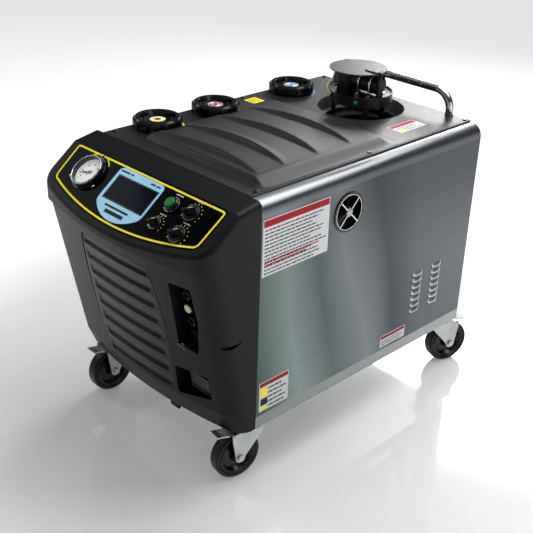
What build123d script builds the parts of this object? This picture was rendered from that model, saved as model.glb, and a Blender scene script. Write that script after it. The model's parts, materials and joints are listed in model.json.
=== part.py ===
from build123d import *
import math
import os

os.makedirs("parts", exist_ok=True)

# ---------------------------------------------------------------- driving dimensions (mm)
# The origin is on the floor, midway between the sides and between the nose and the rear wheels.
# +X is the machine's right-hand side as seen from the front, -Y is its front and +Z is up.
CASE_HALF = 300.0          # half width over the stainless side panels
CASE_FRONT = -334.0        # front edge of the side panels
CASE_BACK = 466.0          # rear edge of the side panels
RAIL_LOW = 150.0           # lower edge of the chassis side rails
RAIL_TOP = 182.0           # upper edge of the rails, where the side panels begin
CASE_TOP = 733.0           # top of the side panels' rolled edge
ROLL = 34.0                # radius of that rolled edge
SHEET = 1.5                # stainless sheet
FIT = 0.5                  # gap between neighbouring covers

# Casters: 125 mm wheels on swivelling, braked plates.
WHEEL_R = 62.5
TYRE_HALF = 16.5
TRAIL = 38.0
CASTER_X = 256.0
CASTER_FRONT_Y = -315.0
CASTER_REAR_Y = 436.0
PLATE_TOP = 157.0
AXLE_R = 6.0
RUN = 0.06                 # running clearance of a shaft in its hole
CASTERS = {
    "front_right": (CASTER_X, CASTER_FRONT_Y, -98.7),
    "front_left": (-CASTER_X, CASTER_FRONT_Y, -90.8),
    "rear_right": (CASTER_X, CASTER_REAR_Y, 70.7),
    "rear_left": (-CASTER_X, CASTER_REAR_Y, 109.3),
}

# Front shell: a bowed face that leans back towards the floor, under a tilted control panel.
WALL = 4.0
FACE_Y = -524.0            # face at its centre, at FACE_Z
FACE_Z = 620.0
LEAN = 100.0 / 470.0       # how far the face moves back for each millimetre down
TUCK_Z = 208.0             # below this height the face turns in more steeply
TUCK = 0.24
BOW = 33.0                 # how far the face moves back at its corners
CORNER = 50.0              # radius of the vertical corners
NOSE = 10.0                # how far the console stands in front of the face
PANEL_Y = -399.6           # upper edge of the tilted control panel
PANEL_Z = 723.6
PANEL_TILT = 37.6          # degrees from horizontal
SHELL_TOP = 735.7          # where the shell meets the top cover

# Top cover, burner well and filler caps.
COVER_HALF = 265.5
COVER_TOP = 737.0
COVER = 4.0
WELL = (0.0, 324.0)
WELL_R = 119.0
WELL_HOLE = 95.0
WELL_Z = 705.0
CAP_X = -215.0
CAP_Y = {"front": -204.0, "middle": -11.0, "rear": 274.0}
CAP_R = 62.0
CAP_H = 27.0
NECK_R = 32.0

# Directions of the leaning face and the tilted panel.
lean_angle = math.atan(LEAN)
FACE = Plane(
    origin=(0, FACE_Y, FACE_Z),
    x_dir=(1, 0, 0),
    z_dir=(0, -math.cos(lean_angle), -math.sin(lean_angle)),
)
tilt = math.radians(PANEL_TILT)
PANEL = Plane(
    origin=(0, PANEL_Y, PANEL_Z),
    x_dir=(1, 0, 0),
    z_dir=(0, -math.sin(tilt), math.cos(tilt)),
)

PANEL_OUT = Axis(PANEL.origin, PANEL.z_dir)
FACE_OUT = Axis(FACE.origin, FACE.z_dir)


def up_face(z):
    """Distance along the leaning face from its origin to the height z."""
    return (z - FACE_Z) / math.cos(lean_angle)


def save(builder, label):
    """Label a finished piece and write it to its own STEP file."""
    builder.part.label = label
    export_step(builder.part, f"parts/{label}.step")


# ---------------------------------------------------------------- casters
def caster_frame(x, y, angle):
    """A caster's own plane: origin on the floor under the swivel, X along the trail."""
    turn = math.radians(angle)
    return Plane(origin=(x, y, 0), x_dir=(math.cos(turn), math.sin(turn), 0), z_dir=(0, 0, 1))


def along_trail(base, across=0.0):
    """Vertical plane along a caster's trail: local X along the trail, local Y up."""
    return Plane(
        origin=base.from_local_coords((0, across, 0)),
        x_dir=base.x_dir,
        z_dir=-base.y_dir,
    )


CUP_R = 33.0               # ball race under the caster's plate
CUP_LOW = 141.0
CROWN_TOP = 140.4
CROWN_LOW = 133.0
FORK_IN = 22.5             # inner half width of the fork
FORK_T = 3.5
KING_R = 6.0


def build_plates():
    """Four caster top plates with their ball races and kingpins."""
    with BuildPart() as plates:
        for x, y, _ in CASTERS.values():
            with BuildSketch(Plane.XY.offset(PLATE_TOP - 4)) as plate:
                with Locations((x, y)):
                    RectangleRounded(70, 88, 10)
                    with GridLocations(50, 68, 2, 2):
                        Circle(4.5, mode=Mode.SUBTRACT)
            extrude(amount=4)
            with BuildSketch(Plane.XY.offset(CUP_LOW)) as cup:
                with Locations((x, y)):
                    Circle(CUP_R)
            extrude(amount=PLATE_TOP - 4 - CUP_LOW)
            with BuildSketch(Plane.XY.offset(CROWN_LOW - 9)) as kingpin:
                with Locations((x, y)):
                    Circle(KING_R)
            extrude(amount=CUP_LOW - CROWN_LOW + 9)
            with BuildSketch(Plane.XY.offset(CROWN_LOW - 9)) as nut:
                with Locations((x, y)):
                    RegularPolygon(10, 6)
            extrude(amount=8.5)
    save(plates, "caster_plates")


def build_fork(name, base):
    """Swivelling fork with its axle bolt."""
    with BuildPart() as fork:
        with BuildSketch(base.offset(CROWN_LOW)) as crown:
            with Locations((8, 0)):
                RectangleRounded(78, 2 * (FORK_IN + FORK_T), 12)
            Circle(36)
            Circle(KING_R + RUN, mode=Mode.SUBTRACT)
        extrude(amount=CROWN_TOP - CROWN_LOW)
        for side in (-1, 1):
            inner = FORK_IN if side > 0 else -FORK_IN - FORK_T
            with BuildSketch(along_trail(base, inner + FORK_T)) as leg:
                with BuildLine():
                    Polyline(
                        (-28, CROWN_LOW + 2),
                        (62, CROWN_LOW + 2),
                        (60, 112),
                        (TRAIL + 13, WHEEL_R),
                        (TRAIL - 13, WHEEL_R),
                        (-24, 118),
                        close=True,
                    )
                make_face()
                with Locations((TRAIL, WHEEL_R)):
                    Circle(13.5)
                    Circle(AXLE_R + RUN, mode=Mode.SUBTRACT)
                with Locations((55, 128.5)):
                    Circle(3 + RUN, mode=Mode.SUBTRACT)
            extrude(amount=FORK_T)
    with BuildPart() as bolt:
        with BuildSketch(along_trail(base, FORK_IN + FORK_T + 5)) as shank:
            with Locations((TRAIL, WHEEL_R)):
                Circle(AXLE_R)
        extrude(amount=2 * (FORK_IN + FORK_T + 5))
        for start in (FORK_IN + FORK_T + 5.2, -FORK_IN - FORK_T - 0.2):
            with BuildSketch(along_trail(base, start)) as head:
                with Locations((TRAIL, WHEEL_R)):
                    RegularPolygon(9.5, 6)
            extrude(amount=5)
    label = f"{name}_fork"
    pieces = Compound(label=label, children=[fork.part, bolt.part])
    export_step(pieces, f"parts/{label}.step")


def wheel_plane(base):
    """Plane through the axle: local X along the axle, local Y up."""
    return Plane(
        origin=base.from_local_coords((TRAIL, 0, WHEEL_R)),
        x_dir=base.y_dir,
        z_dir=base.x_dir,
    )


TYRE_IN = 50.0


def build_tyre(name, base):
    """Solid rubber tyre with rounded shoulders."""
    axle = wheel_plane(base)
    with BuildPart() as tyre:
        with BuildSketch(axle) as section:
            with Locations((0, (WHEEL_R + TYRE_IN) / 2)):
                Rectangle(2 * TYRE_HALF, WHEEL_R - TYRE_IN)
            fillet(section.vertices().group_by(Axis.Z)[-1], 6)
        revolve(axis=Axis(axle.origin, axle.x_dir))
    save(tyre, f"{name}_tyre")


def build_hub(name, base):
    """Dished plastic wheel centre with its bore."""
    axle = wheel_plane(base)
    boss = FORK_IN - 0.5
    bore = AXLE_R + RUN
    rim = TYRE_HALF - 1.0
    with BuildPart() as hub:
        with BuildSketch(axle) as section:
            with BuildLine():
                Polyline(
                    (-boss, bore),
                    (boss, bore),
                    (boss, 13),
                    (boss - 3, 15),
                    (5, 20),
                    (3.5, 38),
                    (rim - 3, 44),
                    (rim, TYRE_IN),
                    (-rim, TYRE_IN),
                    (3 - rim, 44),
                    (-3.5, 38),
                    (-5, 20),
                    (3 - boss, 15),
                    (-boss, 13),
                    close=True,
                )
            make_face()
        revolve(axis=Axis(axle.origin, axle.x_dir))
    save(hub, f"{name}_hub")


def build_brake(name, base):
    """Foot pedal that locks the wheel, on a pin through the fork."""
    with BuildPart() as pedal:
        with BuildSketch(along_trail(base, 17)) as profile:
            with BuildLine():
                Polyline(
                    (50, 126),
                    (60, 126.5),
                    (84, 134),
                    (98, 136),
                    (98, 139.5),
                    (84, 138),
                    (56, 131),
                    (50, 130),
                    close=True,
                )
            make_face()
        extrude(amount=34)
        with BuildSketch(along_trail(base, FORK_IN + FORK_T + 1.5)) as pin:
            with Locations((55, 128.5)):
                Circle(3)
        extrude(amount=2 * (FORK_IN + FORK_T + 1.5))
    save(pedal, f"{name}_brake")


def build_casters():
    """All four casters, each as a fork, a tyre, a hub and a brake pedal."""
    build_plates()
    for name, (x, y, angle) in CASTERS.items():
        base = caster_frame(x, y, angle)
        build_fork(name, base)
        build_tyre(name, base)
        build_hub(name, base)
        build_brake(name, base)


build_casters()


# ---------------------------------------------------------------- chassis and stainless casing
TRAY_FRONT = -366.0
TRAY_BACK = CASE_BACK + 14.0


def build_base_frame():
    """Folded chassis tray with its two stainless side rails."""
    with BuildPart() as frame:
        with BuildSketch(Plane.XY.offset(PLATE_TOP)) as tray:
            with Locations((0, (TRAY_BACK + TRAY_FRONT) / 2)):
                Rectangle(2 * CASE_HALF - 12, TRAY_BACK - TRAY_FRONT)
            fillet(tray.vertices().group_by(Axis.Y)[0], 44)
            fillet(tray.vertices().group_by(Axis.Y)[-1], 12)
        extrude(amount=3)
        for side in (-1, 1):
            with BuildSketch(Plane.XZ.offset(-CASE_BACK)) as rail:
                with Locations((side * (CASE_HALF - 1.25), (RAIL_LOW + RAIL_TOP) / 2)):
                    Rectangle(2.5, RAIL_TOP - RAIL_LOW)
                with Locations((side * (CASE_HALF - 5), RAIL_TOP - 1.25)):
                    Rectangle(10, 2.5)
                with Locations((side * (CASE_HALF - 5), PLATE_TOP + 1.5)):
                    Rectangle(10, 3)
            extrude(amount=CASE_BACK - CASE_FRONT)
        with BuildSketch(Plane.XZ.offset(-CASE_BACK - 3)) as upstand:
            with Locations((0, PLATE_TOP + 12)):
                Rectangle(560, 24)
        extrude(amount=3)
        for x, y, _ in CASTERS.values():
            with BuildSketch(Plane.XY.offset(PLATE_TOP)) as bolt_holes:
                with Locations((x, y)):
                    with GridLocations(50, 68, 2, 2):
                        Circle(4.5)
            extrude(amount=3, mode=Mode.SUBTRACT)
    save(frame, "base_frame")


VENT_Y = -51.0             # round fan opening in the right side
VENT_Z = 632.0
VENT_R = 45.0
LOUVRE_COLUMNS = (252.0, 332.5)
LOUVRE_ROWS = 7
LOUVRE_Z = 310.0
LOUVRE_PITCH = 18.4
LOUVRE_LONG = 45.0
LOUVRE_HIGH = 6.0


def build_side_panel(name, side):
    """Stainless side with its rolled top edge, flange, louvres and fan opening."""
    outer = CASE_HALF
    with BuildPart() as panel:
        with BuildSketch(Plane.XZ.offset(-CASE_BACK)) as section:
            with BuildLine():
                top = Line((outer, RAIL_TOP), (outer, CASE_TOP - ROLL))
                roll = RadiusArc(top @ 1, (outer - ROLL, CASE_TOP), -ROLL)
                lip = Line(roll @ 1, (outer - 50, CASE_TOP))
                edge = Line(lip @ 1, (outer - 50, CASE_TOP - SHEET))
                under = Line(edge @ 1, (outer - ROLL, CASE_TOP - SHEET))
                inside = RadiusArc(under @ 1, (outer - SHEET, CASE_TOP - ROLL), ROLL - SHEET)
                down = Line(inside @ 1, (outer - SHEET, RAIL_TOP))
                Line(down @ 1, top @ 0)
            make_face()
        extrude(amount=CASE_BACK - CASE_FRONT - FIT)
        with BuildSketch(Plane.YZ.offset(outer)) as louvres:
            for column in LOUVRE_COLUMNS:
                with Locations((column, LOUVRE_Z)):
                    with GridLocations(1, LOUVRE_PITCH, 1, LOUVRE_ROWS):
                        SlotOverall(LOUVRE_LONG, LOUVRE_HIGH)
        extrude(amount=-SHEET, mode=Mode.SUBTRACT)
        if side > 0:
            with BuildSketch(Plane.YZ.offset(outer)) as vent:
                with Locations((VENT_Y, VENT_Z)):
                    Circle(VENT_R + 0.5)
            extrude(amount=-SHEET, mode=Mode.SUBTRACT)
    if side < 0:
        with BuildPart() as left:
            add(mirror(panel.part, about=Plane.YZ))
        save(left, name)
    else:
        save(panel, name)


def build_rear_panel():
    """Stainless back sheet between the side panels."""
    with BuildPart() as rear:
        with BuildSketch(Plane.XZ.offset(-CASE_BACK + SHEET)) as sheet:
            with Locations((0, (RAIL_TOP + CASE_TOP - 2) / 2)):
                Rectangle(2 * (CASE_HALF - SHEET - 1), CASE_TOP - 2 - RAIL_TOP)
            corners = sheet.vertices().group_by(Axis.Z)[-1]
            fillet(corners, ROLL - SHEET)
            with Locations((0, 330)):
                with GridLocations(1, 16, 1, 8):
                    SlotOverall(180, 5, mode=Mode.SUBTRACT)
        extrude(amount=SHEET)
    save(rear, "rear_panel")


build_base_frame()
build_side_panel("side_panel_right", 1)
build_side_panel("side_panel_left", -1)
build_rear_panel()


# ---------------------------------------------------------------- front shell
def shell_slice(z, inset, back):
    """Closed plan sketch of the leaning shell at height z, tucked in below TUCK_Z."""
    tuck = max(0.0, TUCK_Z - z) * TUCK
    centre = FACE_Y + (FACE_Z - z) * LEAN + tuck + inset
    with BuildSketch(Plane.XY.offset(z)) as section:
        with BuildLine():
            half = CASE_HALF - inset
            front = ThreePointArc((-half, centre + BOW), (0, centre), (half, centre + BOW))
            right = Line(front @ 1, (half, back))
            rear = Line(right @ 1, (-half, back))
            Line(rear @ 1, front @ 0)
        make_face()
        radius = min(CORNER - inset, CASE_FRONT - centre - BOW - 3)
        fillet(section.vertices().group_by(Axis.Y)[0], radius)
    return section.sketch


def console_slice(z, inset, back):
    """Closed plan sketch of the console, which stands in front of the leaning face."""
    centre = FACE_Y - NOSE + inset
    with BuildSketch(Plane.XY.offset(z)) as section:
        with BuildLine():
            half = CASE_HALF - inset
            front = ThreePointArc((-half, centre + BOW + 8), (0, centre), (half, centre + BOW + 8))
            right = Line(front @ 1, (half, back))
            rear = Line(right @ 1, (-half, back))
            Line(rear @ 1, front @ 0)
        make_face()
        fillet(section.vertices().group_by(Axis.Y)[0], CORNER - inset)
    return section.sketch


NOSE_LOW = 604.0           # underside of the console's nose
EDGE = 14.0                # rounding of the console's upper edge
INNER_EDGE = 6.0           # the same edge inside the shell


def shell_form(inset, low, back, edge):
    """Solid with the shell's outer form, inset all round."""
    along = (PANEL_Z - SHELL_TOP) / (PANEL_Y - CASE_FRONT)
    with BuildPart() as form:
        add(shell_slice(low, inset, back))
        add(shell_slice(TUCK_Z, inset, back))
        add(shell_slice(FACE_Z + 150, inset, back))
        loft(ruled=True)
        add(console_slice(NOSE_LOW, inset, back))
        extrude(amount=160, dir=(0, 0, 1))
        with BuildSketch(Plane.YZ.offset(-CASE_HALF - 5)) as profile:
            with BuildLine():
                Polyline(
                    (back + 5, SHELL_TOP - inset + (back + 5 - CASE_FRONT) * along),
                    (PANEL_Y, PANEL_Z - inset),
                    (PANEL_Y - 300 * math.cos(tilt), PANEL_Z - inset - 300 * math.sin(tilt)),
                    (PANEL_Y - 300 * math.cos(tilt), PANEL_Z + 300),
                    (back + 5, PANEL_Z + 300),
                    close=True,
                )
            make_face()
        extrude(amount=2 * CASE_HALF + 10, mode=Mode.SUBTRACT)
        upper = form.faces().filter_by(lambda f: f.normal_at().Z > 0.5)
        rim = upper.edges().filter_by(lambda e: e.center().Y < back - 1)
        fillet(rim.filter_by(lambda e: not is_crease(e)), edge)
    return form.part


def is_crease(edge):
    """The straight line where the shell's top meets the control panel's plane."""
    middle = edge.center()
    return abs(middle.X) < 1 and abs(middle.Y - PANEL_Y) < 2


PORT_MOUTH = [(176, 383), (232, 370), (250, 467), (245, 552), (183, 553)]
PORT_DEEP = 56.0
INLET_MOUTH = [(134, 216), (244, 240), (246, 307), (145, 303)]
INLET_DEEP = 80.0
POCKET_WALL = 3.0
GRILLE_TOP = 566.0
GRILLE_LOW = 222.0
GRILLE_GAP = 0.6
SLAT_Z = [542 - 42.5 * i - 1.0 * i * (i - 1) / 2 for i in range(8)]
SLAT_HALF = 118.0
SLAT_DEEP = 7.0
ARC_R = (CASE_HALF ** 2 + BOW ** 2) / (2 * BOW)


def mouth(points, plane, grow=0.0):
    """Rounded polygon on the leaning face, given as (x, height) points."""
    with BuildSketch(plane) as outline:
        with BuildLine():
            Polyline([(x, up_face(z)) for x, z in points], close=True)
        make_face()
        fillet(outline.vertices(), 7)
        if grow > 0:
            offset(amount=grow)
    return outline.sketch


def grille_outline(plane, grow):
    """Barrel outline of the grille insert, wider at mid height."""
    with BuildSketch(plane) as outline:
        with BuildLine():
            top, low = up_face(GRILLE_TOP), up_face(GRILLE_LOW)
            right = ThreePointArc((120, low), (144, up_face(420)), (126, top))
            upper = Line(right @ 1, (-126, top))
            left = ThreePointArc(upper @ 1, (-144, up_face(420)), (-120, low))
            Line(left @ 1, right @ 0)
        make_face()
        fillet(outline.vertices(), 9)
        offset(amount=grow)
    return outline.sketch


def panel_outline(plane, inset):
    """Outline of the control panel's glossy plate."""
    with BuildSketch(plane) as outline:
        with BuildLine():
            top = Line((-272, 0), (272, 0))
            right = Line(top @ 1, (266, -108.7))
            low = ThreePointArc(right @ 1, (0, -154), (-266, -108.7))
            Line(low @ 1, top @ 0)
        make_face()
        fillet(outline.vertices().group_by(Axis.Y)[-1], 14)
        fillet(outline.vertices().group_by(Axis.Y)[0], 30)
        if inset:
            offset(amount=-inset)
    return outline.sketch


KNOBS = {"pressure_knob": (187.0, -41.0), "flow_knob": (193.0, -98.0), "mode_selector": (119.0, -98.0)}
SHAFT_R = 3.0
PLATE_T = 2.0


def crescent(side, deep):
    """Finger recess that wraps the shell's corner, as a crescent cut from the side."""
    with BuildPart() as tool:
        with BuildSketch(Plane.YZ.offset(side * (CASE_HALF + 5))) as lens:
            with BuildLine():
                low = ThreePointArc((-458, 430), (-425, 404), (-380, 416))
                ThreePointArc(low @ 1, (-421, 413), low @ 0)
            make_face()
        extrude(amount=-side * deep)
    return tool.part


def build_front_shell():
    """Moulded front shell with its pockets, finger recesses and openings."""
    outer_form = shell_form(0, RAIL_LOW, CASE_FRONT - FIT, EDGE)
    inner_form = shell_form(WALL, RAIL_LOW - 6, CASE_FRONT + 5, INNER_EDGE)
    with BuildPart() as backing:
        for side in (-1, 1):
            with BuildSketch(Plane.XZ.offset(372)) as block:
                with Locations((side * 289, 416)):
                    Rectangle(22, 44)
            extrude(amount=92)
        extrude(mouth(PORT_MOUTH, FACE.offset(30), POCKET_WALL), -30 - PORT_DEEP - POCKET_WALL)
        extrude(mouth(INLET_MOUTH, FACE.offset(30), POCKET_WALL), -30 - INLET_DEEP - POCKET_WALL)
        with BuildSketch(Plane.XY.offset(RAIL_LOW)) as tab:
            with Locations((85, -400.5)):
                Rectangle(32, 6)
        extrude(amount=20)
        add(outer_form, mode=Mode.INTERSECT)
    with BuildPart() as shell:
        add(outer_form)
        add(inner_form, mode=Mode.SUBTRACT)
        add(backing.part)
        with BuildSketch(Plane.XY.offset(RAIL_LOW - 15)) as tab_low:
            with Locations((85, -400.5)):
                Rectangle(32, 6)
        extrude(amount=16)
        extrude(mouth(PORT_MOUTH, FACE.offset(31)), -31 - PORT_DEEP, mode=Mode.SUBTRACT)
        extrude(mouth(INLET_MOUTH, FACE.offset(31)), -31 - INLET_DEEP, mode=Mode.SUBTRACT)
        extrude(grille_outline(FACE.offset(31), GRILLE_GAP), -80, mode=Mode.SUBTRACT)
        add(crescent(1, 17), mode=Mode.SUBTRACT)
        add(crescent(-1, 17), mode=Mode.SUBTRACT)
        extrude(panel_outline(PANEL, 0), -PLATE_T, mode=Mode.SUBTRACT)
        with BuildSketch(PANEL) as shafts:
            with Locations(*KNOBS.values()):
                Circle(SHAFT_R + 1)
        extrude(amount=-20, mode=Mode.SUBTRACT)
    save(shell, "front_shell")


def build_grille():
    """Air intake insert: a barrel-shaped panel of stepped, bowed slats."""
    with BuildPart() as grille:
        add(shell_form(0, RAIL_LOW, CASE_FRONT, EDGE))
        add(shell_form(12, RAIL_LOW - 6, CASE_FRONT + 5, 2), mode=Mode.SUBTRACT)
        extrude(grille_outline(FACE.offset(31), 0), -80, mode=Mode.INTERSECT)
        for z in SLAT_Z:
            face_y = FACE_Y + (FACE_Z - z) * LEAN
            rise = 34.0
            centre = Axis((0, face_y + ARC_R, 0), (0, 0, 1))
            sweep_angle = math.degrees(SLAT_HALF / ARC_R)
            with BuildSketch(Plane.YZ) as wedge:
                with BuildLine():
                    Polyline(
                        (face_y - 3, z),
                        (face_y + SLAT_DEEP, z),
                        (face_y + SLAT_DEEP, z + 5),
                        (face_y - rise * LEAN, z + rise),
                        (face_y - rise * LEAN - 3, z + rise),
                        close=True,
                    )
                make_face()
            notch = revolve(axis=centre, revolution_arc=2 * sweep_angle, mode=Mode.PRIVATE)
            add(notch.rotate(centre, -sweep_angle), mode=Mode.SUBTRACT)
    save(grille, "grille_panel")


build_front_shell()
build_grille()


# ---------------------------------------------------------------- control panel
def build_control_panel():
    """Glossy plate that carries the instruments."""
    with BuildPart() as plate:
        extrude(panel_outline(PANEL, 0.3), -PLATE_T)
        with BuildSketch(PANEL) as shafts:
            with Locations(*KNOBS.values()):
                Circle(SHAFT_R + RUN)
        extrude(amount=-PLATE_T, mode=Mode.SUBTRACT)
    save(plate, "control_panel")


SCREEN = (-5.0, -64.0, 146.0, 68.0)


def build_display():
    """Raised bezel with a round lower edge and the screen in its window."""
    x, y, wide, high = SCREEN
    with BuildPart() as bezel:
        with BuildSketch(PANEL) as outline:
            with BuildLine():
                top = Line((-87, -11), (73, -11))
                right = Line(top @ 1, (73, -107))
                low = ThreePointArc(right @ 1, (-7, -141), (-87, -107))
                Line(low @ 1, top @ 0)
            make_face()
            fillet(outline.vertices().group_by(Axis.Y)[-1], 14)
            fillet(outline.vertices().group_by(Axis.Y)[0], 22)
            with Locations((x, y)):
                Rectangle(wide, high, mode=Mode.SUBTRACT)
        extrude(amount=1.6)
    save(bezel, "display_bezel")
    with BuildPart() as screen:
        with BuildSketch(PANEL) as glass:
            with Locations((x, y)):
                Rectangle(wide - 0.4, high - 0.4)
        extrude(amount=1.2)
    save(screen, "display_screen")


GAUGE = (-168.0, -60.0)
GAUGE_R = 38.0


def build_gauge():
    """Round pressure gauge: case, dial with its spindle, needle and lens."""
    with BuildPart() as case:
        with BuildSketch(PANEL) as flange:
            with Locations(GAUGE):
                Circle(47)
                with PolarLocations(50, 3, start_angle=-30):
                    Circle(6)
                Circle(GAUGE_R, mode=Mode.SUBTRACT)
        extrude(amount=2.5)
        with BuildSketch(PANEL.offset(2.5)) as wall:
            with Locations(GAUGE):
                Circle(44)
                Circle(GAUGE_R, mode=Mode.SUBTRACT)
        extrude(amount=11.5)
        fillet(case.faces().sort_by(PANEL_OUT)[-1].edges().sort_by(SortBy.LENGTH)[-1], 3)
    save(case, "gauge_case")
    with BuildPart() as dial:
        with BuildSketch(PANEL) as disc:
            with Locations(GAUGE):
                Circle(GAUGE_R - 0.1)
        extrude(amount=1.2)
        with BuildSketch(PANEL) as spindle:
            with Locations(GAUGE):
                Circle(1.2)
        extrude(amount=7.5)
    save(dial, "gauge_dial")
    with BuildPart() as needle:
        with BuildSketch(PANEL.offset(2.0)) as boss:
            with Locations(GAUGE):
                Circle(4)
                Circle(1.2 + RUN, mode=Mode.SUBTRACT)
        extrude(amount=2.5)
        with BuildSketch(PANEL.offset(2.6)) as pointer:
            with BuildLine():
                shape = [(-29, -9), (-3, 2), (9, 6), (10, 3), (3, -3)]
                Polyline([(GAUGE[0] + x, GAUGE[1] + y) for x, y in shape], close=True)
            make_face()
            with Locations(GAUGE):
                Circle(1.2 + RUN, mode=Mode.SUBTRACT)
        extrude(amount=1.0)
    save(needle, "gauge_needle")
    with BuildPart() as lens:
        with BuildSketch(PANEL.offset(9.5)) as glass:
            with Locations(GAUGE):
                Circle(GAUGE_R - 0.1)
        extrude(amount=2)
    save(lens, "gauge_lens")


START = (124.0, -43.0)
BUTTON_R = 12.0


def build_start_button():
    """Start button: plated ring and the sprung green cap inside it."""
    with BuildPart() as ring:
        with BuildSketch(PANEL) as base:
            with Locations(START):
                Circle(20)
                Circle(BUTTON_R + 0.4, mode=Mode.SUBTRACT)
        extrude(amount=4)
        with BuildSketch(PANEL.offset(4)) as barrel:
            with Locations(START):
                Circle(17)
                Circle(BUTTON_R + 0.4, mode=Mode.SUBTRACT)
        extrude(amount=7)
        chamfer(ring.faces().sort_by(PANEL_OUT)[-1].edges().sort_by(SortBy.LENGTH)[-1], 2)
    save(ring, "start_ring")
    with BuildPart() as cap:
        with BuildSketch(PANEL.offset(5)) as button:
            with Locations(START):
                Circle(BUTTON_R)
        extrude(amount=11)
        fillet(cap.faces().sort_by(PANEL_OUT)[-1].edges(), 2)
    save(cap, "start_button")


def build_knob(name, skirt_r, grip):
    """Rotary knob: skirt, raised grip bar and a shaft through the panel."""
    place = KNOBS[name]
    with BuildPart() as knob:
        with BuildSketch(PANEL.offset(0.4)) as skirt:
            with Locations(place):
                Circle(skirt_r)
        extrude(amount=5)
        with BuildSketch(PANEL.offset(5.4)) as body:
            with Locations(place):
                Circle(skirt_r * 0.78)
        extrude(amount=4, taper=8)
        with BuildSketch(PANEL.offset(9)) as bar:
            with Locations(Location((*place, 0), (0, 0, 35))):
                RectangleRounded(skirt_r * 1.5, grip, grip * 0.45)
        extrude(amount=13, taper=6)
        with BuildSketch(PANEL.offset(-14)) as shaft:
            with Locations(place):
                Circle(SHAFT_R)
        extrude(amount=14.6)
    save(knob, name)


build_control_panel()
build_display()
build_gauge()
build_start_button()
build_knob("pressure_knob", 21, 11)
build_knob("flow_knob", 21, 11)
build_knob("mode_selector", 16, 8)


# ---------------------------------------------------------------- top cover, caps and handle
HANDLE_X = 203.0
HANDLE_Y = 450.0
HANDLE_R = 11.0
HANDLE_TOP = 800.0
HANDLE_BEND = 50.0
HUMP = 14.0
HUMP_LOW_Y = -271.0
HUMP_HIGH_Y = 140.0
HUMP_LEFT = -152.0
HUMP_RIGHT = 208.0
STEP_PITCH = 112.0


def build_top_cover():
    """Moulded top cover with a stepped hump, the burner well and the filler openings."""
    middle_y = (CASE_FRONT + CASE_BACK) / 2
    hump_centre = ((HUMP_LEFT + HUMP_RIGHT) / 2, (HUMP_LOW_Y + HUMP_HIGH_Y) / 2)
    with BuildPart() as cover:
        with BuildSketch(Plane.XY.offset(COVER_TOP - COVER)) as plate:
            with Locations((0, middle_y)):
                RectangleRounded(2 * COVER_HALF, CASE_BACK - CASE_FRONT - 2 * FIT, 6)
        extrude(amount=COVER)
        fillet(cover.faces().sort_by(Axis.Z)[-1].edges(), 2)
        with BuildSketch(Plane.XY.offset(COVER_TOP - 1)) as hump:
            with Locations(hump_centre):
                RectangleRounded(HUMP_RIGHT - HUMP_LEFT, HUMP_HIGH_Y - HUMP_LOW_Y, 40)
            for y in CAP_Y.values():
                with Locations((CAP_X, y)):
                    Circle(78, mode=Mode.SUBTRACT)
        extrude(amount=HUMP + 1, taper=30)
        for step in range(3):
            y = -178 + step * STEP_PITCH
            with BuildSketch(Plane.XY.offset(COVER_TOP + HUMP)) as crescent_cut:
                with BuildLine():
                    front = ThreePointArc((-112, y - 4), (28, y + 8), (168, y - 18))
                    ThreePointArc(front @ 1, (28, y + 44), front @ 0)
                make_face()
            extrude(amount=-7, mode=Mode.SUBTRACT)
        with BuildSketch(Plane.XY.offset(COVER_TOP)) as well_cut:
            with Locations(WELL):
                Circle(WELL_R)
        extrude(amount=-COVER, mode=Mode.SUBTRACT)
        with BuildSketch(Plane.XZ.offset(-WELL[1])) as bowl:
            with BuildLine():
                Polyline(
                    (WELL_R - 0.5, COVER_TOP - COVER),
                    (WELL_R - 0.5, COVER_TOP - 0.5),
                    (WELL_R - 10, COVER_TOP - 18),
                    (WELL_R - 16, WELL_Z + 4),
                    (WELL_HOLE, WELL_Z),
                    (WELL_HOLE, WELL_Z - 6),
                    (WELL_HOLE + 6, WELL_Z - 6),
                    (WELL_R - 12, WELL_Z),
                    (WELL_R - 5, COVER_TOP - 22),
                    (WELL_R + 4, COVER_TOP - COVER),
                    (WELL_R + 4, COVER_TOP - COVER + 0.5),
                    close=True,
                )
            make_face()
        revolve(axis=Axis((WELL[0], WELL[1], 0), (0, 0, 1)))
        with BuildSketch(Plane.XY.offset(COVER_TOP)) as holes:
            for y in CAP_Y.values():
                with Locations((CAP_X, y)):
                    Circle(NECK_R + 1)
            with Locations((-HANDLE_X, HANDLE_Y), (HANDLE_X, HANDLE_Y)):
                Circle(HANDLE_R + 0.5)
        extrude(amount=-COVER, mode=Mode.SUBTRACT)
    save(cover, "top_cover")


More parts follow.
